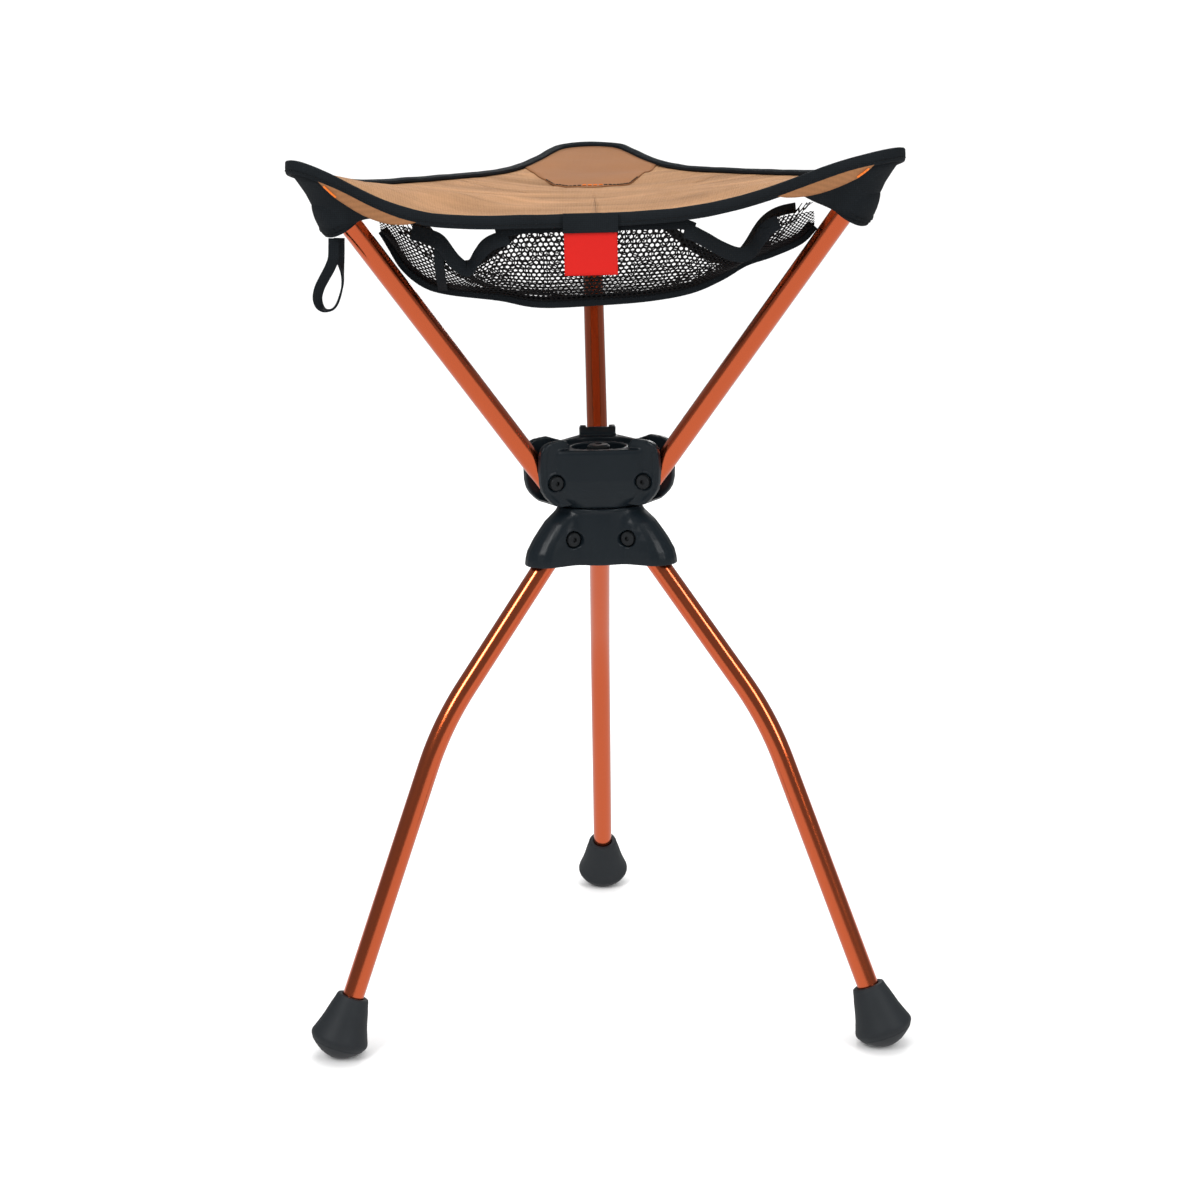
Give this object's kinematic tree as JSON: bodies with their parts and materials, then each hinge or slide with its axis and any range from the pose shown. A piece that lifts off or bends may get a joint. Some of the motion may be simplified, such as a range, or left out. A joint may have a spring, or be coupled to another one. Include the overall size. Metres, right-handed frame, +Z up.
{
  "type": "folding tripod camp stool",
  "caption": "Folding camp stool: a fabric seat on folding arms, over a swivel hub and bent folding legs with bell-shaped feet, with a mesh pocket below the seat.",
  "frame": {"origin": "on the floor, at the middle of the stool's box in plan; the hub axis is at x 0, y -47.5 mm", "axes": "+Z up along the hub axis; the front side of the seat, with the tag, faces -Y; +X is the sitter-facing viewer's right when looking along +Y"},
  "size_m": [0.3642, 0.3206, 0.5352],
  "materials": {
    "hub_plastic": "satin black moulded plastic",
    "dark_steel": "blackened steel",
    "white_nylon": "natural nylon",
    "anodised_orange": "orange anodised, glossy",
    "black_nylon": "moulded nylon",
    "black_tape": "woven polyester binding tape and webbing",
    "dark_rubber": "matt moulded rubber",
    "brown_canvas": "woven polyester canvas",
    "black_mesh": "open hexagonal knitted mesh",
    "red_label": "smooth woven label"
  },
  "bodies": {
    "root": {"leg_hub": "hub_plastic", "swivel_bolt": "dark_steel", "swivel_nut": "dark_steel", "swivel_thrust_washer": "white_nylon", "swivel_top_washer": "dark_steel", "swivel_bushing": "white_nylon", "leg_screw_left": "dark_steel", "leg_barrel_nut_left": "dark_steel", "leg_screw_right": "dark_steel", "leg_barrel_nut_right": "dark_steel", "leg_screw_back": "dark_steel", "leg_barrel_nut_back": "dark_steel"},
    "seat": {"seat_hub": "hub_plastic", "seat_panel": "brown_canvas", "edge_binding": "black_tape", "mesh_pocket": "black_mesh", "tag_tab": "black_tape", "label_tag": "red_label", "arm_screw_left": "dark_steel", "arm_barrel_nut_left": "dark_steel", "arm_screw_right": "dark_steel", "arm_barrel_nut_right": "dark_steel", "arm_screw_back": "dark_steel", "arm_barrel_nut_back": "dark_steel"},
    "arm_left": {"arm_tube_left": "anodised_orange", "arm_plug_left": "black_nylon", "arm_cap_left": "black_nylon", "corner_pocket_left": "black_tape", "carry_loop": "black_tape"},
    "arm_right": {"arm_tube_right": "anodised_orange", "arm_plug_right": "black_nylon", "arm_cap_right": "black_nylon", "corner_pocket_right": "black_tape"},
    "arm_back": {"arm_tube_back": "anodised_orange", "arm_plug_back": "black_nylon", "arm_cap_back": "black_nylon", "corner_pocket_back": "black_tape"},
    "leg_left": {"leg_tube_left": "anodised_orange", "leg_plug_left": "black_nylon", "foot_left": "dark_rubber"},
    "leg_right": {"leg_tube_right": "anodised_orange", "leg_plug_right": "black_nylon", "foot_right": "dark_rubber"},
    "leg_back": {"leg_tube_back": "anodised_orange", "leg_plug_back": "black_nylon", "foot_back": "dark_rubber"}
  },
  "joints": [
    {"name": "seat_swivel", "type": "hinge", "parent": "root", "child": "seat", "pos_m": [0, -0.0475, 0.3213], "axis": [0, 0, 1], "continuous": true},
    {"name": "arm_left_fold", "type": "hinge", "parent": "seat", "child": "arm_left", "pos_m": [-0.0323, -0.06615, 0.3383], "axis": [-0.5, 0.866, 0], "range_deg": [0, 37], "deforming": ["seat_panel", "edge_binding", "mesh_pocket", "tag_tab", "label_tag"]},
    {"name": "arm_right_fold", "type": "hinge", "parent": "seat", "child": "arm_right", "pos_m": [0.0323, -0.06615, 0.3383], "axis": [-0.5, -0.866, 0], "range_deg": [0, 37]},
    {"name": "arm_back_fold", "type": "hinge", "parent": "seat", "child": "arm_back", "pos_m": [0, -0.0102, 0.3383], "axis": [1, 0, 0], "range_deg": [0, 37]},
    {"name": "leg_left_fold", "type": "hinge", "parent": "root", "child": "leg_left", "pos_m": [-0.02286, -0.0607, 0.3025], "axis": [0.5, -0.866, 0], "range_deg": [0, 30]},
    {"name": "leg_right_fold", "type": "hinge", "parent": "root", "child": "leg_right", "pos_m": [0.02286, -0.0607, 0.3025], "axis": [0.5, 0.866, 0], "range_deg": [0, 30]},
    {"name": "leg_back_fold", "type": "hinge", "parent": "root", "child": "leg_back", "pos_m": [0, -0.0211, 0.3025], "axis": [-1, 0, 0], "range_deg": [0, 30]}
  ]
}
